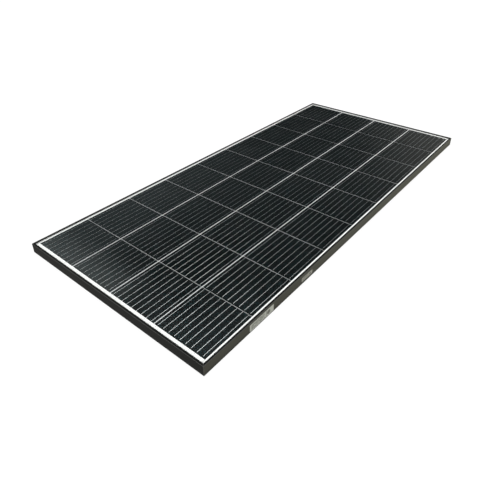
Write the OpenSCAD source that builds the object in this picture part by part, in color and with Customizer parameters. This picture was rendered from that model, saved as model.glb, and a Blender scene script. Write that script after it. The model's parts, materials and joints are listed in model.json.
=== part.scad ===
// Framed photovoltaic panel: 36 full-square cells in four strings of nine,
// nine wires per cell, black anodised frame, junction box on the underside.
// Origin: centre of the underside. X along the long side, Y along the short side, Z up.

/* [Panel] */
// Overall length along X
panel_l = 1480; // [1400:1:1560]
// Overall width along Y
panel_w = 670; // [640:1:720]
// Overall frame height
panel_t = 30; // [28:1:40]

/* [Frame section] */
// Thickness of the outer wall
wall = 1.4; // [1.2:0.1:2.0]
// Width of the lip over the glass
lip_w = 5.5; // [4.5:0.5:9]
// Thickness of the lip
lip_t = 1.4; // [1.2:0.1:2.0]
// Radius of the long outer top edge
edge_r = 1.5; // [0.4:0.1:1.6]
// Radius of the lip's inner edge and of the bottom outer edge
soft_r = 0.4; // [0.2:0.1:0.6]
// Radius of the four upright corners
corner_r = 1.2; // [0.4:0.1:1.4]
// Width of the closed chamber, outer face to inner face
chamber_w = 10.2; // [9:0.1:14]
// Thickness of the chamber's inner web
web = 1.2; // [1.0:0.1:1.6]
// Thickness of the shelf under the laminate
shelf_t = 1.2; // [1.0:0.1:1.6]
// Thickness of the bottom flange
flange_t = 1.4; // [1.2:0.1:2.0]
// Flange width on the long rails
flange_long = 25; // [22:1:32]
// Flange width on the short rails
flange_short = 18; // [14:1:25]

/* [Frame holes] */
// Distance of the hole rows from the outer faces
hole_row = 17.5; // [15:0.5:20]
// Slot width
slot_w = 9; // [7:0.5:10]
// Slot length, end to end
slot_l = 14; // [11:0.5:16]
// Length between the outer pair of slots
slot_outer = 1140; // [1000:10:1200]
// Length between the inner pair of slots
slot_inner = 740; // [600:10:860]
// Diameter of the earthing holes
earth_d = 4.2; // [4:0.1:5]
// Diameter of the drain holes
drain_d = 4; // [3:0.5:6]
// Distance of the drain holes from the panel ends
drain_inset = 70; // [60:5:120]

/* [Corner keys] */
// Length of each leg beyond the elbow
key_leg = 34; // [20:1:45]
// Gap between key and chamber
key_gap = 0.2; // [0.1:0.05:0.4]
// Height of the gripping ribs
key_rib = 0.6; // [0.3:0.1:1.0]
// Pitch of the gripping ribs
key_pitch = 5; // [4:0.5:8]

/* [Laminate] */
// Sealant thickness above and below the laminate
seal_t = 0.5; // [0.3:0.1:1.0]
// Sealant thickness around the laminate edge
seal_side = 1.0; // [0.6:0.1:1.5]
// Glass thickness
glass_t = 3.2; // [2.8:0.1:4.0]
// Encapsulant over and under the cell layer
skin_t = 0.45; // [0.35:0.05:0.6]
// Backsheet thickness
sheet_t = 0.3; // [0.25:0.05:0.4]

/* [Cells] */
// Cell edge length
cell = 158.75; // [156:0.25:166]
// Cell thickness
cell_t = 0.18; // [0.16:0.01:0.2]
// Gap between cells of one string
row_gap = 2; // [1.5:0.5:4]
// Gap between strings
string_gap = 3; // [2:0.5:5]
// Wire width
wire_w = 0.9; // [0.6:0.1:1.2]
// Wire thickness
wire_t = 0.2; // [0.15:0.05:0.3]
// Distance of the wires' free ends from the cell edge, front side
free_front = 4; // [2:0.5:8]
// Distance of the wires' free ends from the cell edge, back side
free_back = 8; // [4:0.5:12]

/* [Bus ribbons] */
// Width of the cross ribbons
bus_w = 4.5; // [4:0.5:6]
// Distance of the first cross ribbon from the cells
bus_off = 1.5; // [1:0.5:3]
// Gap between first and second cross ribbon
bus_gap = 1.0; // [0.5:0.5:3]
// Width of the leads to the junction box
lead_w = 5; // [4:0.5:6]
// Distance between neighbouring leads
lead_pitch = 30; // [25:1:34]

/* [Junction box] */
// Centre of the box along X
box_x = 636; // [600:1:640]
// Box length along X
box_l = 92; // [86:1:100]
// Box width along Y
box_w = 118; // [110:1:130]
// Depth of the box shell without its lid
box_h = 15; // [14:0.5:16]
// Wall thickness
box_wall = 2.2; // [1.8:0.1:3]
// Thickness of the shell's floor and of the lid
box_floor = 2; // [1.6:0.1:2.4]
// Outer corner radius
box_r = 6; // [4:0.5:8]
// Thickness of the adhesive pad
pad_t = 0.6; // [0.4:0.1:1.0]
// Radius of the hinge knuckles
knuckle_r = 3; // [2.5:0.1:3.2]
// Radius of the hinge pin
pin_r = 1.25; // [1:0.05:1.5]

/* [Cable glands] */
// Distance of each gland from the box centre line
gland_y = 35; // [28:1:42]
// Radius of the threaded stub
stub_r = 6; // [5.5:0.1:6.2]
// Radius of the stub's bore
stub_bore = 4.2; // [3.8:0.1:4.4]
// Radius of the cable passage in the seal
cable_r = 3.1; // [2.8:0.1:3.3]
// Running clearance of the nut
nut_gap = 0.07; // [0.05:0.01:0.1]

/* [Labels] */
// Length of the large side label
tag_l = 92; // [80:1:100]
// Height of the large side label
tag_h = 21; // [18:0.5:22]
// Length of the small side label
chip_l = 50; // [40:1:60]
// Height of the small side label
chip_h = 12; // [10:0.5:16]
// Label thickness
tag_t = 0.1; // [0.05:0.05:0.2]

/* [Hidden] */
$fn = 48;
over = 1;
columns = 4;
rows = 9;
wires = 9;
anodised = [0.11, 0.11, 0.105];
silver = [0.78, 0.79, 0.8];
black_plastic = [0.06, 0.06, 0.065];
white_film = [0.93, 0.94, 0.94];
tin = [0.72, 0.74, 0.76];

// Heights of the laminate's layers, from the lip downwards
z_glass = panel_t - lip_t - seal_t;
z_skin = z_glass - glass_t;
z_wire = z_skin - skin_t;
z_cell = z_wire - wire_t;
z_cell_low = z_cell - cell_t;
z_wire_low = z_cell_low - wire_t;
z_sheet = z_wire_low - skin_t;
z_sheet_low = z_sheet - sheet_t;
z_shelf = z_sheet_low - seal_t;
seal_in = 1.5;
z_mid = (z_cell + z_cell_low) / 2;
lam_l = panel_l - 2 * (wall + seal_side);
lam_w = panel_w - 2 * (wall + seal_side);

// Cell field
pitch_x = cell + row_gap;
pitch_y = cell + string_gap;
wire_pitch = cell / wires;
field_l = rows * cell + (rows - 1) * row_gap;
field_w = columns * cell + (columns - 1) * string_gap;
fold_in = 0.2;

// Cross ribbons: row A next to the cells, row B outside it
bus_a = field_l / 2 + bus_off;
bus_b = bus_a + bus_w + bus_gap;
wire_to_a = bus_off + bus_w - 0.2;
wire_to_b = wire_to_a + bus_gap + bus_w;
bus_over = 3;
wire_span = (wires - 1) / 2 * wire_pitch + bus_over;
run_gap = 0.03;
slope = 1.2;
slope_in = 0.1;
strip_t = 0.15;
cover_t = 0.2;
cover_in = field_l / 2 + 0.2;
cover_out = bus_b + bus_w + 0.5;

// Junction box
z_box = z_sheet_low - pad_t;
z_rim = z_box - box_h;
lid_gap = 0.1;
z_lid = z_rim - lid_gap;
hinge_x = box_x + box_l / 2 + knuckle_r + 0.2;
gland_x = box_x - box_l / 2;
z_gland = 14;
slit_x = box_x + 34;
slit_l = 6;
slit_w = 2 * lead_pitch + lead_w + 7;
mouth_l = 14;
mouth_w = slit_w + 4;
lip_in = box_wall + 0.25;
lip_up = 2.4;
lip_wall = 1.2;
rebate_w = 1;
rebate_h = 1;
knuckle_in = 34;
knuckle_l = 14;
knuckle_gap = 0.4;

// Terminals inside the box
term_x = box_x + 2;
term_l = 26;
term_w = 12;
term_t = 1;
z_term = 16.5;
post_x = term_x + 4;
post_l = 14;
post_w = 10;
screw_x = term_x + 10;
screw_r = 1.5;
screw_l = 3.3;
head_r = 3;
head_t = 2;
lead_end = term_x + 17;
diode_x = term_x + 2.4;
diode_r = 2.6;
diode_l = 9;
z_diode = 13.2;
leg_r = 0.5;
leg_in = 4;

// Vent on the side wall of the box
vent_x = box_x - 16;
vent_r = 4;
vent_t = 2.2;
vent_stem_r = 2;
vent_stem_in = 0.5;
vent_hole_r = 0.6;
vent_hole_ring = 2.5;
vent_hole_depth = 0.8;

// Cable glands
hex_r = 8;
hex_l = 3.4;
stub_l = 9;
seal_l = 8;
shank_r = 5.4;
nut_r = 8.4;
nut_end = 2.5;
nut_cone = 3;
cone_r1 = 7;
cone_r2 = 5;
nut_slack = 0.3;
nut_hole = 3.7;

// Small clearances: faces that must not coincide, slip fits, bent ribbon
hair = 0.05;
slip = 0.02;

// Label places on the front rail and on the backsheet
tag_x = -541;
tag_z = 13.3;
chip_x = -347;
chip_z = 13.8;
rating_x = 420;
rating_l = 90;
rating_w = 140;

// ---- shared shapes ----

// Box centred in X and Y, standing on z0
module slab(lx, ly, z0, z1) {
  translate([-lx / 2, -ly / 2, z0])
    cube([lx, ly, z1 - z0]);
}

// Plate with rounded upright corners, centred in X and Y, standing on z0
module round_slab(lx, ly, r, z0, z1) {
  translate([0, 0, z0])
    linear_extrude(z1 - z0)
      union() {
        square([lx - 2 * r, ly], center = true);
        square([lx, ly - 2 * r], center = true);
        for (sx = [-1, 1], sy = [-1, 1])
          translate([sx * (lx / 2 - r), sy * (ly / 2 - r)])
            circle(r);
      }
}

// What a rounded corner of radius r leaves over in a square corner at the origin
module corner_waste(r) {
  difference() {
    translate([-over, -over])
      square(r + over);
    translate([r, r])
      circle(r);
  }
}

// Slotted hole along X through the bottom flange
module slot() {
  straight = slot_l - slot_w;
  translate([-straight / 2, -slot_w / 2, -over])
    cube([straight, slot_w, flange_t + 2 * over]);
  for (s = [-1, 1])
    translate([s * straight / 2, 0, -over])
      cylinder(d = slot_w, h = flange_t + 2 * over);
}

// Round hole through the bottom flange
module flange_hole(d) {
  translate([0, 0, -over])
    cylinder(d = d, h = flange_t + 2 * over);
}

// ---- frame ----

// Section of a rail: x inwards from the outer face, y upwards
module rail_section(flange) {
  difference() {
    union() {
      square([wall, panel_t]);
      translate([0, panel_t - lip_t])
        square([lip_w, lip_t]);
      translate([0, z_shelf - shelf_t])
        square([chamber_w, shelf_t]);
      translate([chamber_w - web, 0])
        square([web, z_shelf]);
      square([flange, flange_t]);
    }
    translate([0, panel_t])
      mirror([0, 1])
        corner_waste(edge_r);
    translate([lip_w, panel_t])
      mirror([1, 0])
        mirror([0, 1])
          corner_waste(soft_r);
    corner_waste(soft_r);
    translate([flange, flange_t])
      mirror([1, 0])
        mirror([0, 1])
          corner_waste(soft_r);
  }
}

// Rail along X with its outer face on y = 0, ends cut at 45 degrees
module mitred_rail(len, flange) {
  difference() {
    intersection() {
      translate([-len / 2, 0, 0])
        rotate([90, 0, 90])
          linear_extrude(len)
            rail_section(flange);
      linear_extrude(panel_t)
        polygon([
          [-len / 2, 0], [len / 2, 0],
          [len / 2 - flange, flange], [-len / 2 + flange, flange]
        ]);
    }
    for (s = [0, 1])
      mirror([s, 0, 0])
        translate([-len / 2, 0, -over])
          linear_extrude(panel_t + 2 * over)
            corner_waste(corner_r);
  }
}

// Long rail with slots, an earthing hole and drain holes
module long_rail() {
  difference() {
    mitred_rail(panel_l, flange_long);
    for (x = [-slot_outer / 2, -slot_inner / 2, slot_inner / 2, slot_outer / 2])
      translate([x, hole_row, 0])
        slot();
    translate([0, hole_row, 0])
      flange_hole(earth_d);
    for (s = [-1, 1])
      translate([s * (panel_l / 2 - drain_inset), hole_row, 0])
        flange_hole(drain_d);
  }
}

module frame_rail_front() {
  color(anodised)
    translate([0, -panel_w / 2, 0])
      long_rail();
}

module frame_rail_rear() {
  color(anodised)
    rotate([0, 0, 180])
      translate([0, -panel_w / 2, 0])
        long_rail();
}

module frame_rail_left() {
  color(anodised)
    translate([-panel_l / 2, 0, 0])
      rotate([0, 0, -90])
        mitred_rail(panel_w, flange_short);
}

module frame_rail_right() {
  color(anodised)
    translate([panel_l / 2, 0, 0])
      rotate([0, 0, 90])
        mitred_rail(panel_w, flange_short);
}

// ---- corner keys ----

// One leg of a key along X: core with gripping ribs
module key_leg_shape() {
  near = wall + key_gap;
  far = chamber_w - web - key_gap;
  low = flange_t + key_gap;
  high = z_shelf - shelf_t - key_gap;
  tip = far + key_leg;
  translate([near, near + key_rib, low])
    cube([tip - near, far - near - 2 * key_rib, high - low]);
  for (x = [far + key_pitch : key_pitch : tip])
    translate([x - key_pitch / 2, near, low])
      cube([key_pitch / 2, far - near, high - low]);
}

// Key for the corner at the origin, legs along +X and +Y
module corner_key() {
  near = wall + key_gap;
  far = chamber_w - web - key_gap;
  low = flange_t + key_gap;
  high = z_shelf - shelf_t - key_gap;
  color(silver)
    union() {
      key_leg_shape();
      mirror([1, -1, 0])
        key_leg_shape();
      translate([near, near, low])
        cube([far - near, far - near, high - low]);
    }
}

module corner_key_front_left() {
  translate([-panel_l / 2, -panel_w / 2, 0])
    corner_key();
}

module corner_key_front_right() {
  translate([panel_l / 2, -panel_w / 2, 0])
    mirror([1, 0, 0])
      corner_key();
}

module corner_key_rear_left() {
  translate([-panel_l / 2, panel_w / 2, 0])
    mirror([0, 1, 0])
      corner_key();
}

module corner_key_rear_right() {
  translate([panel_l / 2, panel_w / 2, 0])
    rotate([0, 0, 180])
      corner_key();
}

// ---- laminate ----

// U-shaped bead of sealant around the laminate edge
module edge_seal() {
  top_leg = 2 * (lip_w - soft_r);
  low_leg = 2 * (chamber_w - seal_in);
  color([0.05, 0.05, 0.05])
    difference() {
      slab(panel_l - 2 * wall, panel_w - 2 * wall, z_shelf, panel_t - lip_t);
      slab(lam_l, lam_w, z_sheet_low, z_glass);
      slab(panel_l - top_leg, panel_w - top_leg, z_glass - over, panel_t);
      slab(panel_l - low_leg, panel_w - low_leg, z_shelf - over, z_sheet_low + over);
    }
}

module glass_sheet() {
  color([0.8, 0.9, 0.9, 0.2])
    slab(lam_l, lam_w, z_skin, z_glass);
}

// Place of each string: the bed its cells and wires lie in
module string_beds(z0, z1) {
  for (k = [1 : columns])
    translate([0, (k - (columns + 1) / 2) * pitch_y, 0])
      slab(field_l, cell, z0, z1);
}

// Beds of the cross ribbons at both ends
module bus_beds(z0, z1) {
  for (s = [0, 1])
    mirror([s, 0, 0])
      translate([field_l / 2, -field_w / 2, z0])
        cube([cover_out - field_l / 2, field_w, z1 - z0]);
}

module encapsulant_front() {
  color([0.85, 0.88, 0.9, 0.2])
    difference() {
      slab(lam_l, lam_w, z_mid, z_skin);
      string_beds(z_mid - over, z_wire);
      bus_beds(z_mid - over, z_wire + cover_t);
    }
}

module encapsulant_rear() {
  color([0.9, 0.92, 0.93, 0.3])
    difference() {
      slab(lam_l, lam_w, z_sheet, z_mid);
      string_beds(z_wire_low, z_mid + over);
      bus_beds(z_wire_low, z_mid + over);
      translate([slit_x - slit_l / 2, -slit_w / 2, z_sheet - over])
        cube([cover_out - slit_x + slit_l / 2, slit_w, z_mid - z_sheet + 2 * over]);
    }
}

module backsheet() {
  color(white_film)
    difference() {
      slab(lam_l, lam_w, z_sheet_low, z_sheet);
      translate([slit_x, 0, 0])
        slab(slit_l, slit_w, z_sheet_low - over, z_sheet + over);
    }
}

// Nine cells of one string
module cell_string(k) {
  color([0.03, 0.035, 0.05])
    translate([0, (k - (columns + 1) / 2) * pitch_y, 0])
      for (i = [0 : rows - 1])
        translate([(i - (rows - 1) / 2) * pitch_x, 0, 0])
          slab(cell, cell, z_cell_low, z_cell);
}

module cell_string_1() {
  cell_string(1);
}

module cell_string_2() {
  cell_string(2);
}

module cell_string_3() {
  cell_string(3);
}

module cell_string_4() {
  cell_string(4);
}

// Side view of one wire line: front of a cell, fold through the gap, back of the next
module wire_line(out_left, out_right) {
  for (i = [0 : rows - 2]) {
    edge = (i - (rows - 1) / 2) * pitch_x + cell / 2;
    start = edge - cell + free_front;
    stop = edge + row_gap + cell - free_back;
    polygon([
      [start, z_cell], [edge + fold_in, z_cell],
      [edge + row_gap - fold_in, z_wire_low], [stop, z_wire_low],
      [stop, z_cell_low], [edge + row_gap - fold_in, z_cell_low],
      [edge + fold_in, z_wire], [start, z_wire]
    ]);
  }
  translate([-field_l / 2 - out_left, z_wire_low])
    square([out_left + cell - free_back, wire_t]);
  translate([field_l / 2 - cell + free_front, z_cell])
    square([cell - free_front + out_right, wire_t]);
}

// All wires of one string whose free front ends point to -X
module string_wires(out_left, out_right) {
  for (j = [0 : wires - 1])
    translate([0, (j - (wires - 1) / 2) * wire_pitch + wire_w / 2, 0])
      rotate([90, 0, 0])
        linear_extrude(wire_w)
          wire_line(out_left, out_right);
}

module wires_string_1() {
  color(tin)
    translate([0, -1.5 * pitch_y, 0])
      string_wires(wire_to_a, wire_to_b);
}

module wires_string_2() {
  color(tin)
    translate([0, -0.5 * pitch_y, 0])
      mirror([1, 0, 0])
        string_wires(wire_to_a, wire_to_a);
}

module wires_string_3() {
  color(tin)
    translate([0, 0.5 * pitch_y, 0])
      string_wires(wire_to_a, wire_to_a);
}

module wires_string_4() {
  color(tin)
    translate([0, 1.5 * pitch_y, 0])
      mirror([1, 0, 0])
        string_wires(wire_to_b, wire_to_a);
}

// Cross ribbon from y0 to y1, near edge at x0
module bus(x0, y0, y1) {
  translate([x0, y0, z_cell_low])
    cube([bus_w, y1 - y0, z_cell - z_cell_low]);
}

module bus_link_1_2() {
  color(tin)
    bus(-bus_a - bus_w, -1.5 * pitch_y - wire_span, -0.5 * pitch_y + wire_span);
}

module bus_link_3_4() {
  color(tin)
    bus(-bus_a - bus_w, 0.5 * pitch_y - wire_span, 1.5 * pitch_y + wire_span);
}

// Lead from a cross ribbon ending at x_out, behind the cells, down onto a terminal
module lead(y, x_out) {
  z_run = z_sheet + run_gap;
  step = x_out - bus_w - fold_in;
  translate([0, y + lead_w / 2, 0])
    rotate([90, 0, 0])
      linear_extrude(lead_w)
        polygon([
          [lead_end, z_term - wire_t], [slit_x + wire_t, z_term - wire_t],
          [slit_x + wire_t, z_run], [step - slope, z_run],
          [step, z_wire_low], [x_out, z_wire_low],
          [x_out, z_cell_low], [step - slope_in, z_cell_low],
          [step - slope - slope_in, z_run + wire_t], [slit_x, z_run + wire_t],
          [slit_x, z_term], [lead_end, z_term]
        ]);
}

module bus_link_2_3() {
  color(tin)
    union() {
      bus(bus_a, -0.5 * pitch_y - wire_span, 0.5 * pitch_y + wire_span);
      lead(0, bus_a + bus_w);
    }
}

module bus_output_1() {
  color(tin)
    union() {
      bus(bus_b, -1.5 * pitch_y - wire_span, -lead_pitch + lead_w / 2);
      lead(-lead_pitch, bus_b + bus_w);
    }
}

module bus_output_4() {
  color(tin)
    union() {
      bus(bus_b, lead_pitch - lead_w / 2, 1.5 * pitch_y + wire_span);
      lead(lead_pitch, bus_b + bus_w);
    }
}

// White strip that hides the cross ribbons from the front
module bus_cover() {
  color(white_film)
    translate([cover_in, -field_w / 2, z_wire])
      cube([cover_out - cover_in, field_w, cover_t]);
}

module bus_cover_left() {
  mirror([1, 0, 0])
    bus_cover();
}

module bus_cover_right() {
  bus_cover();
}

// Strip that keeps the leads apart from the cells
module lead_insulator() {
  x0 = slit_x + slit_l / 2 + 1;
  x1 = field_l / 2 - fold_in;
  color(white_film)
    translate([x0, -slit_w / 2 + 0.5, z_wire_low - slip - strip_t])
      cube([x1 - x0, slit_w - 1, strip_t]);
}

// ---- junction box ----

module junction_pad() {
  color([0.08, 0.08, 0.08])
    difference() {
      translate([box_x, 0, 0])
        round_slab(box_l - 4, box_w - 4, box_r - 2, z_box, z_sheet_low);
      translate([slit_x, 0, 0])
        slab(mouth_l, mouth_w, z_box - over, z_sheet_low + over);
    }
}

// Hinge barrel along Y between y0 and y1
module knuckle(y0, y1) {
  translate([hinge_x, y1, z_rim])
    rotate([90, 0, 0])
      cylinder(r = knuckle_r, h = y1 - y0);
}

module knuckle_hole(r) {
  translate([hinge_x, box_w, z_rim])
    rotate([90, 0, 0])
      cylinder(r = r, h = 2 * box_w);
}

module junction_base() {
  wall_x = box_x + box_l / 2;
  color(black_plastic)
    difference() {
      union() {
        difference() {
          translate([box_x, 0, 0])
            round_slab(box_l, box_w, box_r, z_rim, z_box);
          translate([box_x, 0, 0])
            round_slab(
              box_l - 2 * box_wall, box_w - 2 * box_wall, box_r - box_wall,
              z_rim - over, z_box - box_floor
            );
          translate([box_x, 0, 0])
            round_slab(
              box_l - 2 * (box_wall - rebate_w), box_w - 2 * (box_wall - rebate_w),
              box_r - box_wall + rebate_w, z_rim - over, z_rim + rebate_h
            );
        }
        for (k = [-1 : 1])
          translate([post_x, k * lead_pitch - post_w / 2, z_term + term_t])
            cube([post_l, post_w, z_box - box_floor / 2 - z_term - term_t]);
        for (s = [0, 1])
          mirror([0, s, 0]) {
            knuckle(knuckle_in, knuckle_in + knuckle_l);
            translate([wall_x - box_wall / 2, knuckle_in, z_rim + rebate_h / 2])
              cube([hinge_x - wall_x + box_wall / 2, knuckle_l, knuckle_r - rebate_h / 2]);
          }
      }
      translate([slit_x, 0, 0])
        slab(mouth_l, mouth_w, z_box - box_floor - over, z_box + over);
      for (k = [-1 : 1])
        translate([screw_x, k * lead_pitch, z_term])
          cylinder(r = screw_r + hair, h = screw_l + 2 * hair);
      for (s = [-1, 1])
        translate([gland_x - over, s * gland_y, z_gland])
          rotate([0, 90, 0])
            cylinder(r = shank_r + 2 * hair, h = box_wall + 2 * over);
      translate([vent_x, -box_w / 2 - over, z_gland])
        rotate([-90, 0, 0])
          cylinder(r = vent_stem_r + hair, h = box_wall + 2 * over);
      knuckle_hole(pin_r + slip);
    }
}

module junction_lid() {
  tab_w = 16;
  tab_t = 2.5;
  tab_h = 6.5;
  tab_gap = 0.3;
  recess_in = 10;
  recess_t = 0.4;
  rib_l = 60;
  rib_t = 1.2;
  color(black_plastic)
    difference() {
      union() {
        translate([box_x, 0, 0])
          round_slab(box_l, box_w, box_r, z_lid - box_floor, z_lid);
        translate([box_x, 0, 0])
          difference() {
            round_slab(
              box_l - 2 * lip_in, box_w - 2 * lip_in, box_r - lip_in,
              z_lid - box_floor / 2, z_rim + lip_up
            );
            round_slab(
              box_l - 2 * (lip_in + lip_wall), box_w - 2 * (lip_in + lip_wall),
              box_r - lip_in - lip_wall, z_lid, z_rim + lip_up + over
            );
          }
        for (s = [-1, 1])
          translate([box_x - rib_l / 2, s * lead_pitch / 2 - rib_t / 2, z_lid - box_floor / 2])
            cube([rib_l, rib_t, box_floor / 2 + rib_t]);
        translate([gland_x - tab_t - tab_gap, -tab_w / 2, z_lid - box_floor])
          cube([tab_t, tab_w, tab_h]);
        translate([gland_x - tab_t - tab_gap, -tab_w / 2, z_lid - box_floor])
          cube([tab_t + box_r, tab_w, box_floor]);
        knuckle(-knuckle_in + knuckle_gap, knuckle_in - knuckle_gap);
        translate([hinge_x - knuckle_r - box_floor, -knuckle_in + knuckle_gap, z_lid - box_floor])
          cube([knuckle_r + box_floor, 2 * (knuckle_in - knuckle_gap), box_floor]);
      }
      translate([box_x, 0, 0])
        round_slab(
          box_l - 2 * recess_in, box_w - 2 * recess_in, box_r / 2,
          z_lid - box_floor - over, z_lid - box_floor + recess_t
        );
      knuckle_hole(pin_r + slip + hair);
    }
}

// Rubber ring in the rebate between shell and lid
module lid_gasket() {
  play = 0.1;
  out = 2 * (box_wall - rebate_w + play);
  color([0.12, 0.12, 0.12])
    translate([box_x, 0, 0])
      difference() {
        round_slab(box_l - out, box_w - out, box_r - out / 2, z_lid, z_rim + rebate_h - play);
        round_slab(
          box_l - 2 * lip_in, box_w - 2 * lip_in, box_r - lip_in,
          z_lid - over, z_rim + rebate_h + over
        );
      }
}

module hinge_pin() {
  half = knuckle_in + knuckle_l;
  color(silver)
    translate([hinge_x, half, z_rim])
      rotate([90, 0, 0])
        cylinder(r = pin_r, h = 2 * half);
}

// Brass terminal plate with a screw hole
module terminal(k) {
  color([0.72, 0.58, 0.3])
    difference() {
      translate([term_x, (k - 2) * lead_pitch - term_w / 2, z_term])
        cube([term_l, term_w, term_t]);
      translate([screw_x, (k - 2) * lead_pitch, z_term - over])
        cylinder(r = screw_r + 2 * hair, h = term_t + 2 * over);
    }
}

module terminal_1() {
  terminal(1);
}

module terminal_2() {
  terminal(2);
}

module terminal_3() {
  terminal(3);
}

// Pan-head screw, head downwards, crossed slots in the head
module terminal_screw(k) {
  slot_t = 0.8;
  cross_l = 2 * head_r - 2 * slot_t;
  color(silver)
    translate([screw_x, (k - 2) * lead_pitch, z_term])
      difference() {
        union() {
          translate([0, 0, -head_t])
            cylinder(r1 = head_r - soft_r, r2 = head_r, h = head_t);
          cylinder(r = screw_r, h = screw_l);
        }
        for (a = [0, 90])
          rotate([0, 0, a])
            slab(cross_l, slot_t, -head_t - over, -head_t / 2);
      }
}

module terminal_screw_1() {
  terminal_screw(1);
}

module terminal_screw_2() {
  terminal_screw(2);
}

module terminal_screw_3() {
  terminal_screw(3);
}

// Axial diode between two terminals, legs bent up to their plates
module bypass_diode(s) {
  y0 = leg_in;
  y1 = lead_pitch - leg_in;
  color([0.1, 0.1, 0.11])
    union() {
      translate([diode_x, s * (y0 + y1) / 2 + diode_l / 2, z_diode])
        rotate([90, 0, 0])
          cylinder(r = diode_r, h = diode_l);
      translate([diode_x, s * (y0 + y1) / 2 + (y1 - y0) / 2, z_diode])
        rotate([90, 0, 0])
          cylinder(r = leg_r, h = y1 - y0);
      for (y = [y0, y1])
        translate([diode_x, s * y, z_diode]) {
          cylinder(r = leg_r, h = z_term - z_diode);
          sphere(r = leg_r);
        }
    }
}

module bypass_diode_1() {
  bypass_diode(-1);
}

module bypass_diode_2() {
  bypass_diode(1);
}

// ---- cable glands ----

// Hexagon collar, threaded stub and shank through the box wall, pointing to -X
module gland_body(s) {
  color(black_plastic)
    translate([gland_x, s * gland_y, z_gland])
      rotate([0, -90, 0])
        difference() {
          union() {
            translate([0, 0, hair])
              cylinder(r = hex_r, h = hex_l - hair, $fn = 6);
            translate([0, 0, hex_l - over])
              cylinder(r = stub_r, h = stub_l + over);
            translate([0, 0, -box_wall])
              cylinder(r = shank_r, h = box_wall + over);
          }
          translate([0, 0, -box_wall - over])
            cylinder(r = stub_bore, h = stub_l + hex_l + box_wall + 2 * over);
        }
}

module gland_body_1() {
  gland_body(-1);
}

module gland_body_2() {
  gland_body(1);
}

// Rubber sleeve that grips the cable
module gland_seal(s) {
  color([0.15, 0.15, 0.15])
    translate([gland_x - hex_l, s * gland_y, z_gland])
      rotate([0, -90, 0])
        difference() {
          cylinder(r = stub_bore - slip, h = seal_l);
          translate([0, 0, -over])
            cylinder(r = cable_r, h = seal_l + 2 * over);
        }
}

module gland_seal_1() {
  gland_seal(-1);
}

module gland_seal_2() {
  gland_seal(1);
}

// Hexagon nut that turns on the stub
module gland_nut(s) {
  base_z = hex_l + nut_slack;
  skirt = stub_l + nut_slack;
  color(black_plastic)
    translate([gland_x, s * gland_y, z_gland])
      rotate([0, -90, 0])
        difference() {
          union() {
            translate([0, 0, base_z])
              cylinder(r = nut_r, h = skirt + nut_end, $fn = 6);
            translate([0, 0, base_z + skirt + nut_end])
              cylinder(r1 = cone_r1, r2 = cone_r2, h = nut_cone);
          }
          translate([0, 0, base_z - over])
            cylinder(r = stub_r + nut_gap, h = skirt + over);
          translate([0, 0, base_z])
            cylinder(r = nut_hole, h = skirt + nut_end + nut_cone + over);
        }
}

module gland_nut_1() {
  gland_nut(-1);
}

module gland_nut_2() {
  gland_nut(1);
}

// Pressure vent on the side wall of the box
module vent_plug() {
  color([0.2, 0.2, 0.21])
    translate([vent_x, -box_w / 2, z_gland])
      rotate([90, 0, 0])
        difference() {
          union() {
            translate([0, 0, slip])
              cylinder(r = vent_r, h = vent_t - slip);
            translate([0, 0, -box_wall - vent_stem_in])
              cylinder(r = vent_stem_r, h = box_wall + 2 * vent_stem_in);
          }
          for (a = [0 : 60 : 300])
            rotate([0, 0, a])
              translate([vent_hole_ring, 0, vent_t - vent_hole_depth])
                cylinder(r = vent_hole_r, h = 2 * vent_hole_depth, $fn = 12);
        }
}

// ---- labels ----

module rating_label() {
  color(silver)
    translate([rating_x, 0, 0])
      slab(rating_l, rating_w, z_sheet_low - tag_t, z_sheet_low);
}

// Plate against the outer face of the front rail
module side_label(x, z, l, h) {
  translate([x - l / 2, -panel_w / 2 - tag_t, z - h / 2])
    cube([l, tag_t, h]);
}

module side_label_large() {
  color([0.62, 0.62, 0.6])
    side_label(tag_x, tag_z, tag_l, tag_h);
}

module side_label_small() {
  color([0.5, 0.5, 0.47])
    side_label(chip_x, chip_z, chip_l, chip_h);
}

frame_rail_front();
frame_rail_rear();
frame_rail_left();
frame_rail_right();
corner_key_front_left();
corner_key_front_right();
corner_key_rear_left();
corner_key_rear_right();
edge_seal();
glass_sheet();
encapsulant_front();
cell_string_1();
cell_string_2();
cell_string_3();
cell_string_4();
wires_string_1();
wires_string_2();
wires_string_3();
wires_string_4();
bus_link_1_2();
bus_link_3_4();
bus_link_2_3();
bus_output_1();
bus_output_4();
bus_cover_left();
bus_cover_right();
lead_insulator();
encapsulant_rear();
backsheet();
junction_pad();
junction_base();
junction_lid();
lid_gasket();
hinge_pin();
terminal_1();
terminal_2();
terminal_3();
terminal_screw_1();
terminal_screw_2();
terminal_screw_3();
bypass_diode_1();
bypass_diode_2();
gland_body_1();
gland_body_2();
gland_seal_1();
gland_seal_2();
gland_nut_1();
gland_nut_2();
vent_plug();
rating_label();
side_label_large();
side_label_small();
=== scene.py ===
"""Looks of a framed solar panel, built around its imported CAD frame."""
import json
import math

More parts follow.
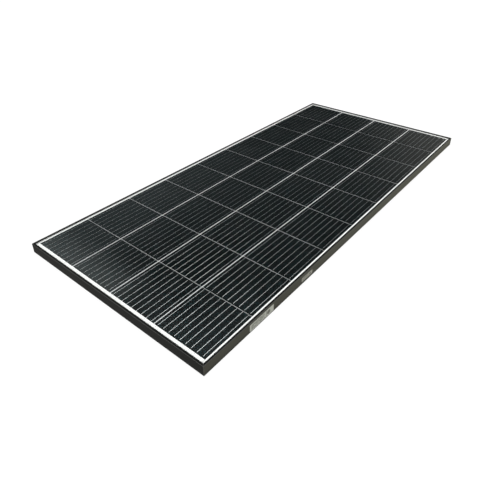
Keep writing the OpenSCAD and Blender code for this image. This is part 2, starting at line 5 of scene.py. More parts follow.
import bmesh
import bpy
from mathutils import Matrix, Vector

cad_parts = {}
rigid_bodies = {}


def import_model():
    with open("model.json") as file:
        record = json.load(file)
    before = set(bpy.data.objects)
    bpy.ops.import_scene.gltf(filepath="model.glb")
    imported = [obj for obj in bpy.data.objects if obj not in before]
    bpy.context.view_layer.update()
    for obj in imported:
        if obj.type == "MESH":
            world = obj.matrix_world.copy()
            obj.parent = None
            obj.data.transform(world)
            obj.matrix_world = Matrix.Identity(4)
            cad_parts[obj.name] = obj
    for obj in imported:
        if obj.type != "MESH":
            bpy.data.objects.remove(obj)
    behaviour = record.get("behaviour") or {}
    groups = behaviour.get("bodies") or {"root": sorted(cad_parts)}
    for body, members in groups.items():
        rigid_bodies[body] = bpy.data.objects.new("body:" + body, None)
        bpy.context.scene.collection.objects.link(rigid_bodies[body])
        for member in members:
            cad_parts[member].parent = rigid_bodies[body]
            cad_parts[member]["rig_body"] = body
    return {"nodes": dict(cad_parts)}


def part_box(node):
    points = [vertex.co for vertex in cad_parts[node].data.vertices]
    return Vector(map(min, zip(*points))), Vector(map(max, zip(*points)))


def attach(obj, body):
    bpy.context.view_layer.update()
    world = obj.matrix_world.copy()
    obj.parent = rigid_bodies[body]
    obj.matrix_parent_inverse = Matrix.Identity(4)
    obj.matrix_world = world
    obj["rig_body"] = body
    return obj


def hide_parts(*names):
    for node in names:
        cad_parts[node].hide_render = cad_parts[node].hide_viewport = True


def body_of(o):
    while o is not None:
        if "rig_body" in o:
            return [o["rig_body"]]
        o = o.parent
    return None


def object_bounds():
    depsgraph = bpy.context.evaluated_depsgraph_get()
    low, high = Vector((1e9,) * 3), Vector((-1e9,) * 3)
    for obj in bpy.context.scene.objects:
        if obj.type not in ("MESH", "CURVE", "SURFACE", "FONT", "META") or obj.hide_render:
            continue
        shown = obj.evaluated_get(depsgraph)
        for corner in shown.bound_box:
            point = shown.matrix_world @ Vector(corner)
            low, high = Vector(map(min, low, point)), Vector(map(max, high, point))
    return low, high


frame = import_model()
cad_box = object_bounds()
nodes = frame["nodes"]

# ---- named sizes, in metres ----
MM = 0.001
COLUMNS, ROWS, WIRES = 4, 9, 9
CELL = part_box("cell_string_1")[1].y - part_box("cell_string_1")[0].y
FIELD_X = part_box("cell_string_1")[1].x
CELL_PITCH_X = (2 * FIELD_X - CELL) / (ROWS - 1)
CELL_PITCH_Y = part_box("cell_string_2")[0].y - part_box("cell_string_1")[0].y
WIRE_PITCH = CELL / WIRES
ROW_GAP = CELL_PITCH_X - CELL
STRING_GAP = CELL_PITCH_Y - CELL
FIELD_Y = COLUMNS / 2 * CELL_PITCH_Y - STRING_GAP / 2
FINGER_PITCH = 1.3 * MM
FINGER_SHARE = 0.06
LIP = 5.5 * MM
CORNERS = ((-1, -1), (1, -1), (1, 1), (-1, 1))
WHITE = (1.0, 1.0, 1.0, 1.0)


# ---- node trees ----

class Graph:
    """Node tree of one material or world, with short calls to add and join nodes."""

    def __init__(self, owner, output):
        owner.use_nodes = True
        self.owner = owner
        self.tree = owner.node_tree
        self.tree.nodes.clear()
        self.out = self.tree.nodes.new(output)

    def feed(self, socket, value):
        """Links an output to a socket, or sets the socket's own value."""
        if isinstance(value, bpy.types.NodeSocket):
            self.tree.links.new(value, socket)
        else:
            socket.default_value = value

    def add(self, kind, inputs=None, **settings):
        """A new node: settings are its own properties, inputs are values or outputs by socket."""
        node = self.tree.nodes.new(kind)
        for key, value in settings.items():
            setattr(node, key, value)
        for key, value in (inputs or {}).items():
            self.feed(node.inputs[key], value)
        return node

    def finish(self, shader):
        """Makes a shader the result and returns the material or world."""
        self.tree.links.new(shader, self.out.inputs["Surface"])
        return self.owner

    # values

    def math(self, operation, a, b=0.0):
        return self.add("ShaderNodeMath", {0: a, 1: b}, operation=operation).outputs[0]

    def product(self, first, *others):
        """All values multiplied together."""
        for other in others:
            first = self.math("MULTIPLY", first, other)
        return first

    def weighted(self, a, b, share=0.5):
        """Mean of two values, with the given share of a."""
        return self.math("ADD", self.product(a, share), self.product(b, 1 - share))

    def inverse(self, value):
        """1 minus the value."""
        return self.math("SUBTRACT", 1.0, value)

    def off(self, value, middle):
        """Distance of value from middle."""
        return self.math("ABSOLUTE", self.math("SUBTRACT", value, middle))

    def ramp(self, value, low, high, to_low=0.0, to_high=1.0):
        """Value from low..high mapped smoothly to to_low..to_high."""
        inputs = {
            "Value": value, "From Min": low, "From Max": high, "To Min": to_low, "To Max": to_high,
        }
        return self.add("ShaderNodeMapRange", inputs, interpolation_type="SMOOTHSTEP").outputs[0]

    def spread(self, noise, to_low=0.0, to_high=1.0, reach=0.2):
        """Noise within reach of its mean of 0.5, mapped smoothly to to_low..to_high."""
        return self.ramp(noise, 0.5 - reach, 0.5 + reach, to_low, to_high)

    def between(self, value, low, high):
        """1 where value lies between low and high, else 0."""
        return self.product(
            self.math("GREATER_THAN", value, low), self.math("LESS_THAN", value, high))

    def close_to(self, value, target, within):
        """1 where value is no further than within from target, else 0."""
        inputs = {0: value, 1: target, 2: within}
        return self.add("ShaderNodeMath", inputs, operation="COMPARE").outputs[0]

    def distance_to_lines(self, value, pitch, phase):
        """Distance from value to the nearest of the lines at (n + phase) * pitch."""
        whole_pitches = 100
        count = self.math("DIVIDE", value, pitch)
        share = self.math("FRACT", self.math("SUBTRACT", count, phase - 0.5 - whole_pitches))
        return self.product(self.off(share, 0.5), pitch)

    def blend(self, share, a, b):
        """Colour a where share is 0, b where it is 1."""
        node = self.add("ShaderNodeMix", data_type="RGBA")
        for socket, value in zip((node.inputs[0], node.inputs[6], node.inputs[7]), (share, a, b)):
            self.feed(socket, value)
        return node.outputs[2]

    def mix(self, share, a, b):
        """Shader a where share is 0, b where it is 1."""
        return self.add("ShaderNodeMixShader", {0: share, 1: a, 2: b}).outputs[0]

    # coordinates and textures

    def place(self):
        """Coordinates in the shared frame with the panel at rest, in metres."""
        return self.add("ShaderNodeTexCoord").outputs["Object"]

    def axes(self, vector=None):
        """The X, Y and Z of a vector, which is the place unless another is given."""
        return self.add("ShaderNodeSeparateXYZ", {"Vector": vector or self.place()}).outputs

    def normal_axes(self):
        """The X, Y and Z of the direction that the surface faces."""
        return self.axes(self.add("ShaderNodeNewGeometry").outputs["Normal"])

    def stretched(self, scale):
        """The place, scaled apart per axis."""
        inputs = {"Vector": self.place(), "Scale": scale}
        return self.add("ShaderNodeMapping", inputs).outputs[0]

    def noise(self, scale, detail=3.0, roughness=0.5, vector=None):
        inputs = {
            "Vector": vector or self.place(), "Scale": scale, "Detail": detail, "Roughness": roughness,
        }
        return self.add("ShaderNodeTexNoise", inputs).outputs[0]

    def chance(self, column, row):
        """One random value for each whole column and row."""
        index = self.add("ShaderNodeCombineXYZ", {"X": column, "Y": row}).outputs[0]
        inputs = {"Vector": index}
        return self.add("ShaderNodeTexWhiteNoise", inputs, noise_dimensions="3D").outputs["Value"]

    def bump(self, height, distance, strength=1.0):
        inputs = {"Height": height, "Distance": distance, "Strength": strength}
        return self.add("ShaderNodeBump", inputs).outputs[0]

    # shaders

    def principled(self, inputs):
        return self.add("ShaderNodeBsdfPrincipled", inputs).outputs[0]

    def see_through(self, colour=WHITE):
        return self.add("ShaderNodeBsdfTransparent", {"Color": colour}).outputs[0]

    def emission(self, colour, strength):
        inputs = {"Color": colour, "Strength": strength}
        return self.add("ShaderNodeEmission", inputs).outputs[0]

    def background(self, colour, strength):
        inputs = {"Color": colour, "Strength": strength}
        return self.add("ShaderNodeBackground", inputs).outputs[0]

    def total(self, a, b):
        """Both shaders added together."""
        return self.add("ShaderNodeAddShader", {0: a, 1: b}).outputs[0]


def material(name):
    return Graph(bpy.data.materials.new(name), "ShaderNodeOutputMaterial")


def rgb(r, g, b):
    return (r, g, b, 1.0)


# ---- materials ----

def anodised(name, along_x):
    """Black anodised extrusion: die lines, fine grain, painted highlights on the edges, and a dark mitre
    between painted highlights.
    """
    g = material(name)
    lines = g.noise(1.0, 3.0, 0.6, g.stretched((3, 1100, 1100) if along_x else (1100, 3, 1100)))
    grain = g.noise(2600.0, 2.0)
    tone = g.weighted(lines, g.noise(9.0, 3.0))
    texture = g.weighted(lines, grain, 0.6)
    dark, light = rgb(0.0050, 0.0052, 0.0048), rgb(0.0085, 0.0085, 0.0076)
    colour = g.blend(g.spread(tone, reach=0.15), dark, light)
    # painted highlight: paler colour on the rounded edges and upright corners
    colour = g.blend(painted_edge_highlight(g), colour, rgb(0.045, 0.045, 0.042))
    off_mitre = distance_to_mitre(g)
    # painted highlight on both sides of the mitre; the dark joint between them is the seam itself
    mitre_highlight = g.ramp(off_mitre, 0.5 * MM, 1.0 * MM, 1.0, 0.0)
    joint = g.ramp(off_mitre, 0.2 * MM, 0.4 * MM, 1.0, 0.0)
    colour = g.blend(mitre_highlight, colour, rgb(0.075, 0.075, 0.073))
    colour = g.blend(joint, colour, rgb(0.004, 0.004, 0.004))
    level = g.math("ABSOLUTE", g.normal_axes()["Z"])
    return g.finish(g.principled({
        "Base Color": colour, "Roughness": g.spread(texture, 0.36, 0.5),
        "Normal": g.bump(texture, 0.02 * MM, 0.6),
        "Specular IOR Level": g.ramp(level, 0.9, 0.99, 0.5, 0.12),
    }))


def painted_edge_highlight(g):
    """Share of painted highlight: 1 on the rounded edges of a rail and on its corners, where the surface
    faces between two axes.
    """
    facing = g.normal_axes()
    lean = g.math("ABSOLUTE", facing["Z"])
    long_edge = g.product(g.ramp(lean, 0.1, 0.4), g.ramp(lean, 0.85, 0.98, 1.0, 0.0))
    turn = g.math("ABSOLUTE", g.product(facing["X"], facing["Y"]))
    return g.math("MAXIMUM", long_edge, g.ramp(turn, 0.1, 0.3))


def distance_to_mitre(g):
    """Difference between the distances to the end and to the side of the frame, 0 on a mitre."""
    place = g.axes()
    from_end = g.math("SUBTRACT", cad_box[1].x, g.math("ABSOLUTE", place["X"]))
    from_side = g.math("SUBTRACT", cad_box[1].y, g.math("ABSOLUTE", place["Y"]))
    return g.off(from_end, from_side)


def cast_metal():
    """Bare cast aluminium with a coarse grain."""
    g = material("cast_aluminium")
    grain = g.noise(900.0, 4.0, 0.7)
    return g.finish(g.principled({
        "Base Color": g.blend(grain, rgb(0.5, 0.51, 0.52), rgb(0.72, 0.73, 0.74)), "Metallic": 1.0,
        "Roughness": g.spread(grain, 0.42, 0.62), "Normal": g.bump(grain, 0.06 * MM),
    }))


def sealant():
    """Black sealant with a slightly uneven skin."""
    g = material("sealant_black")
    skin = g.noise(260.0, 4.0, 0.6)
    return g.finish(g.principled({
        "Base Color": g.blend(skin, rgb(0.010, 0.010, 0.010), rgb(0.022, 0.022, 0.021)),
        "Roughness": g.spread(skin, 0.45, 0.7), "Normal": g.bump(skin, 0.1 * MM, 0.5),
    }))


def glass():
    """Textured front glass. Rays that have already passed through a surface go straight through it."""
    g = material("front_glass")
    path = g.add("ShaderNodeLightPath").outputs
    bent = g.add("ShaderNodeBsdfRefraction", {
        "Color": rgb(0.985, 0.988, 0.982), "Roughness": 0.0, "IOR": 1.52,
    }).outputs[0]
    shine = g.add("ShaderNodeBsdfAnisotropic", {
        "Color": WHITE, "Roughness": g.spread(g.noise(14.0, 4.0, 0.6), 0.09, 0.14),
        "Normal": g.bump(g.noise(420.0, 3.0, 0.55), 0.03 * MM, 0.35),
    }).outputs[0]
    mirrored = g.add("ShaderNodeFresnel", {"IOR": 1.5}).outputs[0]
    outside = g.inverse(g.add("ShaderNodeNewGeometry").outputs["Backfacing"])
    seen = g.mix(g.product(mirrored, outside), bent, shine)
    other = g.mix(path["Is Transmission Ray"], g.see_through(rgb(0.985, 0.99, 0.986)), seen)
    return g.finish(g.mix(path["Is Camera Ray"], other, seen))


def clear_film():
    """Cured encapsulant: nearly invisible, with a faint milkiness and a haze along part of the -X end."""
    g = material("encapsulant")
    milk = g.noise(30.0, 3.0)
    place = g.axes()
    end = cad_box[0].x
    near_end = g.ramp(place["X"], end + 15 * MM, end + 140 * MM, 0.025, 0.0)
    haze = g.product(near_end, g.ramp(place["Y"], -70 * MM, 30 * MM, 0.15, 1.0))
    body = g.principled({
        "Base Color": g.blend(milk, rgb(0.78, 0.87, 0.88), rgb(0.84, 0.93, 0.93)), "Roughness": 0.3,
    })
    share = g.math("ADD", g.spread(milk, 0.0002, 0.0008), haze)
    return g.finish(g.mix(share, g.see_through(), body))


def silicon():
    """Monocrystalline cells: near-black, each a little different, with fine silver fingers along Y."""
    g = material("silicon")
    place = g.axes()
    column = g.math("FLOOR", g.math("ADD", g.math("DIVIDE", place["X"], CELL_PITCH_X), 0.5))
    row = g.math("FLOOR", g.math("DIVIDE", place["Y"], CELL_PITCH_Y))
    cloud = g.noise(22.0, 4.0, 0.6)
    tone = g.weighted(g.chance(column, row), cloud, 0.6)
    dark = g.blend(tone, rgb(0.0004, 0.0024, 0.0029), rgb(0.0009, 0.0033, 0.0037))
    phase = g.math("FRACT", g.math("DIVIDE", place["X"], FINGER_PITCH))
    finger = g.math("LESS_THAN", phase, FINGER_SHARE)
    return g.finish(g.principled({
        "Base Color": g.blend(finger, dark, rgb(0.0145, 0.0152, 0.0160)),
        "Roughness": g.spread(cloud, 0.34, 0.46), "Specular IOR Level": 0.01,
        "Normal": g.bump(g.noise(5200.0, 2.0), 0.02 * MM, 0.5),
    }))


def painted_wire_sheen(g):
    """Share of painted sheen on a wire: on its flat top only, and less near the +X end of the panel.

    It is full at a middling angle, weaker from straight above, and gone from the side.
    """
    facing = g.add("ShaderNodeLayerWeight", {"Blend": 0.5}).outputs["Facing"]
    from_side = g.ramp(facing, 0.28, 0.40, 1.0, 0.0)
    from_above = g.ramp(facing, 0.10, 0.26, 0.4, 1.0)
    on_top = g.ramp(g.normal_axes()["Z"], 0.7, 0.95)
    along = g.ramp(g.axes()["X"], -560 * MM, -360 * MM, 1.0, 0.6)
    return g.product(from_side, on_top, from_above, along)


def tinned():
    """Tinned wires on the cells: wiped along X, with a painted sheen, and painted shade that makes them
    darker toward the +Y side where there is no sheen.
    """
    g = material("tinned_copper")
    wipe = g.noise(1.0, 3.0, 0.6, g.stretched((60, 900, 900)))
    tone = g.weighted(wipe, g.noise(260.0, 3.0))
    # painted shade: the tin is darker toward the +Y side
    across = g.ramp(g.axes()["Y"], -320 * MM, 320 * MM)
    tin_painted_shade = g.blend(across, rgb(0.165, 0.175, 0.18), rgb(0.055, 0.058, 0.060))
    # painted sheen colour, used where the painted sheen is full
    bright = g.blend(g.spread(tone, reach=0.15), rgb(0.88, 0.92, 0.93), rgb(0.94, 0.98, 0.99))
    return g.finish(g.principled({
        "Base Color": g.blend(painted_wire_sheen(g), tin_painted_shade, bright),
        "Roughness": g.spread(tone, 0.3, 0.45, reach=0.15), "Normal": g.bump(tone, 0.01 * MM, 0.3),
    }))


def white_film():
    """White polymer film. Its front has painted shade in the gaps between cells, greyer than the side
    borders.

    The painted shade in the gaps between strings is darker toward the -X end. The cells press through as
    a soft relief.
    """
    g = material("white_film")
    plain, paler = rgb(0.87, 0.87, 0.865), rgb(0.8961, 0.8961, 0.89095)
    # border is the plain white film; the row gaps get painted shade
    border, painted_row_shade = rgb(0.93, 0.93, 0.925), rgb(0.25, 0.26, 0.265)
    grain = g.noise(1500.0, 3.0)
    place = g.axes()
    off_row = g.distance_to_lines(place["X"], CELL_PITCH_X, 0.5)
    off_string = g.distance_to_lines(place["Y"], CELL_PITCH_Y, 0.0)
    front = g.math("GREATER_THAN", g.normal_axes()["Z"], 0.0)
    outside = g.math("GREATER_THAN", g.math("ABSOLUTE", place["Y"]), FIELD_Y)
    inside = g.math("LESS_THAN", g.math("ABSOLUTE", place["X"]), FIELD_X)
    under_cell = 0.1 * MM
    string_gap = g.math("LESS_THAN", off_string, STRING_GAP / 2 + under_cell)
    row_gap = g.math("LESS_THAN", off_row, ROW_GAP / 2 + under_cell)
    row_gap = g.product(row_gap, inside, g.inverse(outside), g.inverse(string_gap))
    # painted shade in the string gaps, darker toward the -X end
    painted_shade_fade = g.ramp(place["X"], -500 * MM, 600 * MM)
    painted_string_shade = g.blend(painted_shade_fade, rgb(0.57, 0.58, 0.59), rgb(0.88, 0.89, 0.90))
    colour = g.blend(g.noise(7.0, 4.0, 0.6), plain, paler)
    for mask, tone in ((row_gap, painted_row_shade), (string_gap, painted_string_shade), (outside, border)):
        colour = g.blend(g.product(mask, front), colour, tone)
    shoulder = 4 * MM
    relief = g.math("MINIMUM", g.ramp(off_row, 0.0, shoulder), g.ramp(off_string, 0.0, shoulder))
    return g.finish(g.principled({
        "Base Color": colour, "Roughness": g.spread(grain, 0.42, 0.55),
        "Normal": g.bump(g.weighted(grain, relief, 0.06), 0.15 * MM, 0.5),
    }))


def cover_film():
    """White strip over the cross ribbons; the soldered wire ends show as two rows of faint marks."""
    g = material("cover_film")
    cloud = g.noise(40.0, 4.0, 0.6)
    place = g.axes()
    past_cells = g.math("SUBTRACT", g.math("ABSOLUTE", place["X"]), FIELD_X)
    to_string = g.distance_to_lines(place["Y"], CELL_PITCH_Y, 0.5)
    to_wire = g.distance_to_lines(to_string, WIRE_PITCH, 0.0)
    ribbons = [g.close_to(past_cells, middle, 1.3 * MM) for middle in (3.2 * MM, 8.8 * MM)]
    mark = g.product(g.math("MAXIMUM", *ribbons), g.ramp(to_wire, 0.6 * MM, 1.4 * MM, 1.0, 0.0))
    colour = g.blend(cloud, rgb(0.71, 0.71, 0.705), rgb(0.76, 0.76, 0.755))
    return g.finish(g.principled({
        "Base Color": g.blend(g.product(mark, 0.8), colour, rgb(0.42, 0.43, 0.44)),
        "Roughness": g.spread(cloud, 0.42, 0.55), "Normal": g.bump(mark, 0.05 * MM, 0.6),
    }))


def moulded(name, dark, light, rough=(0.45, 0.62)):
    """Moulded plastic or rubber with a fine spark-eroded grain."""
    g = material(name)
    grain = g.noise(1300.0, 3.0, 0.6)
    tone = g.weighted(grain, g.noise(25.0, 3.0))
    return g.finish(g.principled({
        "Base Color": g.blend(g.spread(tone, reach=0.15), rgb(*dark), rgb(*light)),
        "Roughness": g.spread(grain, *rough), "Normal": g.bump(grain, 0.05 * MM, 0.7),
    }))


def plated(name, dark, light):
    """Plated metal with faint blotches."""
    g = material(name)
    blot = g.noise(420.0, 4.0, 0.6)
    return g.finish(g.principled({
        "Base Color": g.blend(g.spread(blot), rgb(*dark), rgb(*light)), "Metallic": 1.0,
        "Roughness": g.spread(blot, 0.25, 0.42), "Normal": g.bump(blot, 0.03 * MM, 0.6),
    }))


def label_marks(g, u, v, length, tall):
    """1 on the print of a label: rows of bars that stand for words, a ruled line and a round spot.

    u and v run from 0 to 1 over the length and the height of the label.
    """
    rows, columns = 5, 30
    count = g.product(v, rows)
    in_row = g.between(g.math("FRACT", count), 0.25, 0.8)
    printed = g.chance(g.math("FLOOR", g.product(u, columns)), g.math("FLOOR", count))
    in_block = g.product(g.between(u, 0.06, 0.62), g.between(v, 0.12, 0.9))
    bars = g.product(in_row, g.math("GREATER_THAN", printed, 0.2), in_block)
    rule = g.product(g.between(u, 0.67, 0.69), g.between(v, 0.1, 0.9))
    along = g.product(g.math("SUBTRACT", u, 0.78), length)
    above = g.product(g.math("SUBTRACT", v, 0.5), tall)
    away = g.math("SQRT", g.math("ADD", g.product(along, along), g.product(above, above)))
    spot = g.ramp(away, 0.28 * tall, 0.33 * tall, 1.0, 0.0)
    return g.math("MAXIMUM", bars, g.math("MAXIMUM", rule, spot))


def label_paper(node, across, up, paper, ink):
    """Film label with generic print; across and up are the axes along its length and height."""
    g = material(node)
    low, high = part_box(node)
    place = g.axes()
    a, b = ("XYZ".index(axis) for axis in (across, up))
    length, tall = high[a] - low[a], high[b] - low[b]
    u = g.math("DIVIDE", g.math("SUBTRACT", place[across], low[a]), length)
    v = g.math("DIVIDE", g.math("SUBTRACT", place[up], low[b]), tall)
    marks = label_marks(g, u, v, length, tall)
    cloud = g.noise(60.0, 4.0, 0.6)
    colour = g.blend(cloud, rgb(*(c * 0.86 for c in paper)), rgb(*paper))
    return g.finish(g.principled({
        "Base Color": g.blend(g.product(marks, 0.85), colour, rgb(*ink)),
        "Roughness": g.spread(cloud, 0.4, 0.6), "Normal": g.bump(g.noise(700.0, 2.0), 0.03 * MM, 0.4),
    }))


def dress(names, mat):
    """Gives CAD nodes their material."""
    for name in names:
        for slot in nodes[name].material_slots:
            slot.material = mat


def starting(*prefixes):
    return [name for prefix in prefixes for name in nodes if name.startswith(prefix)]


seal_black = sealant()
box_black = moulded("box_plastic", (0.020, 0.020, 0.021), (0.038, 0.038, 0.040))
rubber = moulded("soft_rubber", (0.02, 0.02, 0.02), (0.04, 0.04, 0.04), (0.6, 0.8))
epoxy = moulded("diode_epoxy", (0.015, 0.015, 0.017), (0.03, 0.03, 0.032), (0.25, 0.4))
vent_grey = moulded("vent_plastic", (0.06, 0.06, 0.063), (0.1, 0.1, 0.105))
bus_tin = plated("bus_tin", (0.62, 0.63, 0.64), (0.80, 0.81, 0.82))
zinc = plated("zinc_steel", (0.5, 0.51, 0.53), (0.7, 0.71, 0.72))
brass = plated("terminal_brass", (0.5, 0.42, 0.24), (0.7, 0.6, 0.36))
terminals = ["terminal_1", "terminal_2", "terminal_3"]

dress(["frame_rail_front", "frame_rail_rear"], anodised("anodised_black_x", True))
dress(["frame_rail_left", "frame_rail_right"], anodised("anodised_black_y", False))
dress(starting("corner_key"), cast_metal())
dress(["edge_seal", "junction_pad"], seal_black)
dress(["glass_sheet"], glass())
dress(starting("cell_string"), silicon())
dress(starting("bus_link", "bus_output"), bus_tin)
dress(["backsheet", "lead_insulator"], white_film())
dress(starting("bus_cover"), cover_film())
dress(starting("junction_base", "junction_lid", "gland_body", "gland_nut"), box_black)
dress(starting("lid_gasket", "gland_seal"), rubber)
dress(starting("hinge_pin", "terminal_screw"), zinc)
dress(terminals, brass)
dress(starting("bypass_diode"), epoxy)
dress(["vent_plug"], vent_grey)


# ---- pieces that stand for CAD nodes ----

def add_piece(name, mesh, replaced, body="panel", smooth_angle=35):
    """Makes a mesh a piece that rides on a body and stands for CAD nodes."""
    mesh.validate()
    mesh.shade_smooth()
    mesh.set_sharp_from_angle(angle=math.radians(smooth_angle))
    piece = bpy.data.objects.new(name, mesh)
    bpy.context.scene.collection.objects.link(piece)
    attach(piece, body)
    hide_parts(*replaced)


def new_mesh(name, verts, faces, mat):
    mesh = bpy.data.meshes.new(name)
    mesh.from_pydata(verts, [], faces)
    mesh.materials.append(mat)
    return mesh


def sweep(verts, faces, rings):
    """Adds one closed tube through rings of points that all have the same count."""
    first = len(verts)
    count = len(rings[0])
    for ring in rings:
        verts.extend(ring)
    for r in range(len(rings) - 1):
        for i in range(count):
            a, b = first + r * count + i, first + r * count + (i + 1) % count
            faces.append((a, b, b + count, a + count))
    faces.append(tuple(first + i for i in reversed(range(count))))
    last = first + (len(rings) - 1) * count
    faces.append(tuple(last + i for i in range(count)))


def wire_ring(x, y, z_low, width, height):
    """Section of a wire across X: flat on top, with rounded flanks."""
    half, flank, steps = width / 2, 0.16 * width, 3
    right = []
    for k in range(steps + 1):
        angle = math.pi / 2 * k / steps
        side = y + half - flank * (1 - math.cos(angle))
        right.append((x, side, z_low + height * (0.4 + 0.6 * math.sin(angle))))
    left = [(x, 2 * y - point[1], point[2]) for point in reversed(right)]
    return [(x, y - half, z_low), (x, y + half, z_low)] + right + left


def wire_routes(start, stop, z_back, z_front):
    """Routes of a wire as points (x, z): a lead at each end, and one run from each cell to the next.

    A run starts on the front of a cell, goes down in the gap and ends on the back of the next cell.
    """
    free_front, free_back, fold, steps = 4 * MM, 8 * MM, 0.2 * MM, 4
    routes = [
        [(start, z_back), (-FIELD_X + CELL - free_back, z_back)],
        [(FIELD_X - CELL + free_front, z_front), (stop, z_front)],
    ]
    for i in range(ROWS - 1):
        edge = -FIELD_X + i * CELL_PITCH_X + CELL
        route = [(edge - CELL + free_front, z_front)]
        for t in range(steps + 1):
            fall = (1 - math.cos(math.pi * t / steps)) / 2
            x = edge + fold + (ROW_GAP - 2 * fold) * t / steps
            route.append((x, z_front + (z_back - z_front) * fall))
        route.append((edge + ROW_GAP + CELL - free_back, z_back))
        routes.append(route)
    return routes


def make_wires(k, mat):
    """The nine wires of one string. Even strings run the other way along X."""
    node = f"wires_string_{k}"
    low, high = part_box(node)
    cell_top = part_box(f"cell_string_{k}")[1].z
    middle = (low.y + high.y) / 2
    width = 0.95 * ((high.y - low.y) - (WIRES - 1) * WIRE_PITCH)
    thick = high.z - cell_top
    turn = 1 if k % 2 else -1
    start, stop = (low.x, high.x) if turn > 0 else (-high.x, -low.x)
    routes = wire_routes(start, stop, low.z, cell_top)
    verts, faces = [], []
    for j in range(WIRES):
        y = middle + (j - (WIRES - 1) / 2) * WIRE_PITCH
        for route in routes:
            rings = [wire_ring(turn * x, y, z, width, thick) for x, z in route]
            sweep(verts, faces, rings[::turn])
    name = f"round_wires_{k}"
    add_piece(name, new_mesh(name, verts, faces, mat), [node])


def make_film():
    """The two cured encapsulant layers, which melt into one clear film around the cells."""
    low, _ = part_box("encapsulant_rear")
    _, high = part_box("encapsulant_front")
    gap, chamfer = 0.01 * MM, 0.1 * MM
    levels = (
        (chamfer, low.z + gap), (0, low.z + chamfer), (0, high.z - chamfer), (chamfer, high.z - gap),
    )
    rings = [
        [(sx * (high.x - inset), sy * (high.y - inset), z) for sx, sy in CORNERS]
        for inset, z in levels
    ]
    verts, faces = [], []
    sweep(verts, faces, rings)
    mesh = new_mesh("encapsulant_film", verts, faces, clear_film())
    add_piece("encapsulant_film", mesh, ["encapsulant_front", "encapsulant_rear"])


def mitred_ring(section_of):
    """A closed frame: section_of(side) gives points of (inset from the CAD box, height)."""
    count = len(section_of("+X"))
    verts, faces = [], []
    for sx, sy in CORNERS:
        end = section_of("+X" if sx > 0 else "-X")
        side = section_of("+Y" if sy > 0 else "-Y")
        for (inset_x, z), (inset_y, _) in zip(end, side):
            verts.append((sx * (cad_box[1].x - inset_x), sy * (cad_box[1].y - inset_y), z))
    for corner in range(len(CORNERS)):
        here, there = corner * count, (corner + 1) % len(CORNERS) * count
        for i in range(count):
            j = (i + 1) % count
            faces.append((here + i, here + j, there + j, there + i))
    return verts, faces


def make_seal(mat):
    """Sealant round the laminate, with the black bead that stands out past the lips on the glass. The
    bead is widest on the +X side and wider on +Y than on -Y; the extra width is painted shade next to the
    lips.
    """
    low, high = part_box("edge_seal")
    glass_end, glass_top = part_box("glass_sheet")[1].x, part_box("glass_sheet")[1].z
    sheet_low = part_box("backsheet")[0].z
    wall = cad_box[1].x - high.x
    edge = cad_box[1].x - glass_end
    rise, overlap, shelf, fillet = 0.45 * MM, 0.4 * MM, 8.7 * MM, 1.6 * MM
    # bead widths per side: real sealant, widened on +X and +Y as painted shade next to the lips
    bead_and_shade_widths = {"-X": 2.2 * MM, "-Y": 1.6 * MM, "+X": 4.4 * MM, "+Y": 2.0 * MM}

    def section(side):
        bead = bead_and_shade_widths[side]
        return [
            (wall, high.z), (wall, low.z), (shelf, low.z), (shelf + fillet * 0.5, low.z + 0.1 * MM),
            (shelf + fillet, sheet_low), (edge, sheet_low), (edge, glass_top),
            (LIP + bead, glass_top), (LIP + bead * 0.85, glass_top + rise * 0.5),
            (LIP + bead * 0.5, glass_top + rise * 0.9), (LIP + bead * 0.1, high.z),
            (LIP - overlap, high.z),
        ]

    verts, faces = mitred_ring(section)
    add_piece("seal_bead", new_mesh("seal_bead", verts, faces, mat), ["edge_seal"])


def softened(name, radius, steps=2):
    """A copy of a CAD node with its sharp edges rounded, standing for the node."""
    sharp_angle, flat_angle, weld = math.radians(40), math.radians(0.6), 0.002 * MM
    mesh = nodes[name].data.copy()
    mesh.name = name + "_soft"
    work = bmesh.new()
    work.from_mesh(mesh)
    bmesh.ops.remove_doubles(work, verts=work.verts, dist=weld)
    bmesh.ops.dissolve_limit(work, angle_limit=flat_angle, verts=work.verts, edges=work.edges)
    paired = [edge for edge in work.edges if len(edge.link_faces) == 2]
    sharp = [edge for edge in paired if edge.calc_face_angle(0) > sharp_angle]
    bmesh.ops.bevel(
        work, geom=sharp, offset=radius, offset_type="OFFSET", segments=steps,
        profile=0.5, affect="EDGES", clamp_overlap=True,
    )
    bmesh.ops.remove_doubles(work, verts=work.verts, dist=weld)
    bmesh.ops.triangulate(work, faces=[face for face in work.faces if len(face.verts) > 4])
    work.to_mesh(mesh)
    work.free()
    if "custom_normal" in mesh.attributes:
        mesh.attributes.remove(mesh.attributes["custom_normal"])
    add_piece(name + "_soft", mesh, [name], body_of(nodes[name])[0], 40)


def make_label(node, radius, mat):
    """A label with rounded corners: a thin plate whose flat sides face along its thinnest axis."""
    low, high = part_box(node)
    middle, half = (low + high) / 2, (high - low) / 2
    thin = min(range(3), key=lambda axis: half[axis])
    wide, tall = (axis for axis in range(3) if axis != thin)
    steps = 6
    outline = []
    for quarter, (sx, sy) in enumerate(((1, 1), (-1, 1), (-1, -1), (1, -1))):
        for k in range(steps + 1):
            angle = math.pi / 2 * (quarter + k / steps)
            outline.append((
                sx * (half[wide] - radius) + radius * math.cos(angle),
                sy * (half[tall] - radius) + radius * math.sin(angle),
            ))
    rings = []
    for side in (-1, 1):
        ring = []
        for a, b in outline:
            point = Vector(middle)
            point[wide] += a
            point[tall] += b
            point[thin] += side * half[thin]
            ring.append(tuple(point))
        rings.append(ring)
    verts, faces = [], []
    sweep(verts, faces, rings[::-1] if thin == 1 else rings)
    name = node + "_print"
    add_piece(name, new_mesh(name, verts, faces, mat), [node])


# ---- stage, light and camera ----

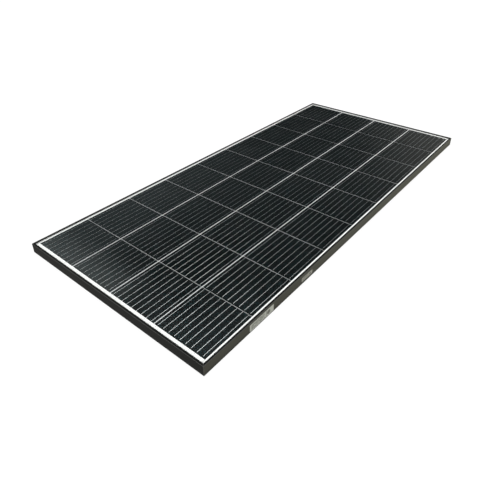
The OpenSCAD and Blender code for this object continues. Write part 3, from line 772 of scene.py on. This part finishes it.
def make_floor():
    """Pale floor, seen almost white from above and not at all from below.

    Reflections meet a floor that is bright and warm in front of the -Y side and dark elsewhere. All
    other light meets an even grey one.
    """
    bpy.ops.mesh.primitive_plane_add(size=14.0, location=(0, 0, cad_box[0].z - 0.2 * MM))
    floor = bpy.context.object
    floor.name = "floor"
    g = material("floor")
    path = g.add("ShaderNodeLightPath").outputs
    cloud = g.noise(3.0, 3.0)
    in_front = g.ramp(g.axes()["Y"], -345 * MM, -330 * MM, 1.0, 0.0)
    mirrored = g.blend(in_front, rgb(0.17, 0.17, 0.16), rgb(0.65, 0.64, 0.50))
    bounced = g.blend(cloud, rgb(0.48, 0.48, 0.48), rgb(0.52, 0.52, 0.52))
    unseen = g.emission(g.blend(path["Is Glossy Ray"], bounced, mirrored), 1.0)
    pale = g.blend(cloud, rgb(0.09, 0.09, 0.09), rgb(0.11, 0.11, 0.11))
    matt = g.add("ShaderNodeBsdfDiffuse", {"Color": pale}).outputs[0]
    above = g.total(matt, g.emission(WHITE, 0.89))
    from_below = g.add("ShaderNodeNewGeometry").outputs["Backfacing"]
    seen = g.mix(from_below, above, g.see_through())
    floor.data.materials.append(g.finish(g.mix(path["Is Camera Ray"], unseen, seen)))


def make_world():
    """White backdrop, even soft light, and for reflections a dim room with pale patches in it.

    x, y and z are the direction of a ray, so each patch is a range of directions.
    """
    world = bpy.data.worlds.new("studio")
    bpy.context.scene.world = world
    g = Graph(world, "ShaderNodeOutputWorld")
    path = g.add("ShaderNodeLightPath").outputs
    toward = g.axes(g.add("ShaderNodeTexCoord").outputs["Generated"])
    x, y, z = toward["X"], toward["Y"], toward["Z"]
    cold, warm, blue = rgb(0.80, 0.93, 0.95), rgb(1.0, 0.97, 0.9), rgb(0.80, 0.97, 1.0)
    far_veil = g.ramp(y, 0.60, 0.74, 0.0, 0.15)
    low_veil = g.product(g.ramp(y, 0.50, 0.66, 0.0, 0.08), g.ramp(z, 0.50, 0.60, 1.0, 0.0))
    right_front = g.math("SUBTRACT", x, g.product(y, 0.9))
    patches = (
        (cold, g.math("ADD", far_veil, low_veil)), (warm, g.ramp(right_front, 0.45, 0.85, 0.0, 0.4)),
        (WHITE, g.ramp(z, 0.85, 0.95, 0.0, 0.35)), (blue, g.ramp(z, 0.66, 0.75, 0.0, 0.2)),
    )
    room = g.background(rgb(0.9, 1.0, 1.0), 0.03)
    for colour, strength in patches:
        room = g.total(room, g.background(colour, strength))
    even = g.background(WHITE, 1.8)
    unseen = g.mix(path["Is Glossy Ray"], even, room)
    g.finish(g.mix(path["Is Camera Ray"], unseen, g.background(WHITE, 1.0)))


def make_camera():
    """Camera at the photograph's viewing angle."""
    data = bpy.data.cameras.new("camera")
    camera = bpy.data.objects.new("camera", data)
    bpy.context.scene.collection.objects.link(camera)
    camera.location = (-1.18655, -0.81198, 0.82654)
    camera.rotation_euler = [math.radians(angle) for angle in (58.580, 0.3694, -50.358)]
    data.sensor_width = 36.0
    data.lens = 33.915
    data.shift_x = 0.0182
    data.shift_y = -0.0992
    data.clip_start = 0.05
    data.clip_end = 60.0
    bpy.context.scene.camera = camera


make_seal(seal_black)
make_label("side_label_large", 1.5 * MM, label_paper(
    "side_label_large", "X", "Z", (0.33, 0.34, 0.30), (0.04, 0.04, 0.035)))
make_label("side_label_small", 1.0 * MM, label_paper(
    "side_label_small", "X", "Z", (0.27, 0.27, 0.235), (0.04, 0.04, 0.035)))
make_label("rating_label", 3.0 * MM, label_paper(
    "rating_label", "Y", "X", (0.72, 0.73, 0.74), (0.10, 0.10, 0.10)))
for name in starting("frame_rail"):
    softened(name, 0.12 * MM)
for name in ("junction_base", "junction_lid"):
    softened(name, 0.35 * MM)
for name in starting("gland_body", "gland_nut"):
    softened(name, 0.4 * MM, 3)
for name in starting("terminal_screw"):
    softened(name, 0.2 * MM)
for name in terminals:
    softened(name, 0.12 * MM)
for name in starting("corner_key"):
    softened(name, 0.2 * MM)
softened("vent_plug", 0.25 * MM)
softened("hinge_pin", 0.25 * MM)
wire_tin = tinned()
for k in range(1, COLUMNS + 1):
    make_wires(k, wire_tin)
make_film()
make_floor()
make_world()
make_camera()
bpy.context.scene.view_settings.view_transform = "Standard"
